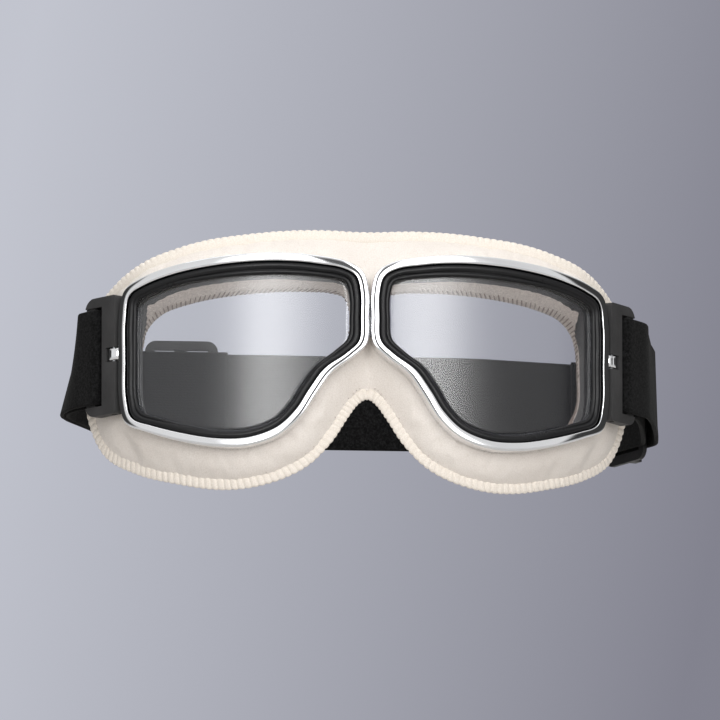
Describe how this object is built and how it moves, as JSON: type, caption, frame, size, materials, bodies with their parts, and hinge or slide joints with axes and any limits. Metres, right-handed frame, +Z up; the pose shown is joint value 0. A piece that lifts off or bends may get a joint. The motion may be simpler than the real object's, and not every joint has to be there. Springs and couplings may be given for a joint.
{
  "type": "motorcycle goggles",
  "caption": "Motorcycle goggles: chrome rims with curved clear lenses on a padded leather mask, hinged strap brackets and an elastic strap with sliders.",
  "frame": {"origin": "middle of the pad's face side at the nose bridge, level with the strap's centre line", "axes": "+X to the wearer's left, +Y back towards the face and strap, +Z up"},
  "size_m": [0.2185, 0.1362, 0.0962],
  "materials": {
    "chrome": "bright polished chrome plate",
    "steel": "plain bright steel",
    "gasket_rubber": "satin black moulded rubber",
    "lens": "clear polycarbonate",
    "black_plastic": "matte black",
    "leather": "smooth cream synthetic leather",
    "foam": "open-cell foam",
    "lining": "grey brushed knit",
    "thread": "cream thread",
    "charcoal_plastic": "matte charcoal moulded plastic",
    "elastic": "black brushed elastic webbing",
    "slider_plastic": "satin black moulded plastic"
  },
  "bodies": {
    "mask": {"rim_left": "chrome", "rim_right": "chrome", "gasket_left": "gasket_rubber", "gasket_right": "gasket_rubber", "lens_left": "lens", "lens_right": "lens", "lens_retainer_left": "black_plastic", "lens_retainer_right": "black_plastic", "bridge_plate": "steel", "bridge_rivet_lower_left": "steel", "bridge_rivet_lower_right": "steel", "bridge_rivet_upper_left": "steel", "bridge_rivet_upper_right": "steel", "mask_front_panel": "leather", "mask_rear_panel": "leather", "foam_core_left": "foam", "foam_core_right": "foam", "cup_lining_left": "lining", "cup_lining_right": "lining", "inner_stitched_roll_left": "thread", "inner_stitched_roll_right": "thread", "outer_whipstitch": "thread", "strap_main": "elastic", "strap_return_left": "elastic", "strap_return_right": "elastic"},
    "bracket_arm_left": {"bracket_left": "charcoal_plastic", "hinge_pin_left": "steel", "strap_loop_left": "elastic"},
    "bracket_arm_right": {"bracket_right": "charcoal_plastic", "hinge_pin_right": "steel", "strap_loop_right": "elastic"},
    "strap_slider_left": {"slider_left": "slider_plastic"},
    "strap_slider_right": {"slider_right": "slider_plastic"}
  },
  "joints": [
    {"name": "bracket_hinge_left", "type": "hinge", "parent": "mask", "child": "bracket_arm_left", "pos_m": [0.0893, 0.007, 0], "axis": [0, 0, -1], "range_deg": [-8, 20]},
    {"name": "bracket_hinge_right", "type": "hinge", "parent": "mask", "child": "bracket_arm_right", "pos_m": [-0.0893, 0.007, 0], "axis": [0, 0, 1], "range_deg": [-8, 20]},
    {"name": "slider_slide_left", "type": "slide", "parent": "mask", "child": "strap_slider_left", "axis": [-0.4221, 0.9066, 0], "range_m": [-0.002, 0.003]},
    {"name": "slider_slide_right", "type": "slide", "parent": "mask", "child": "strap_slider_right", "axis": [1, 0, 0], "range_m": [-0.002, 0.014]}
  ]
}
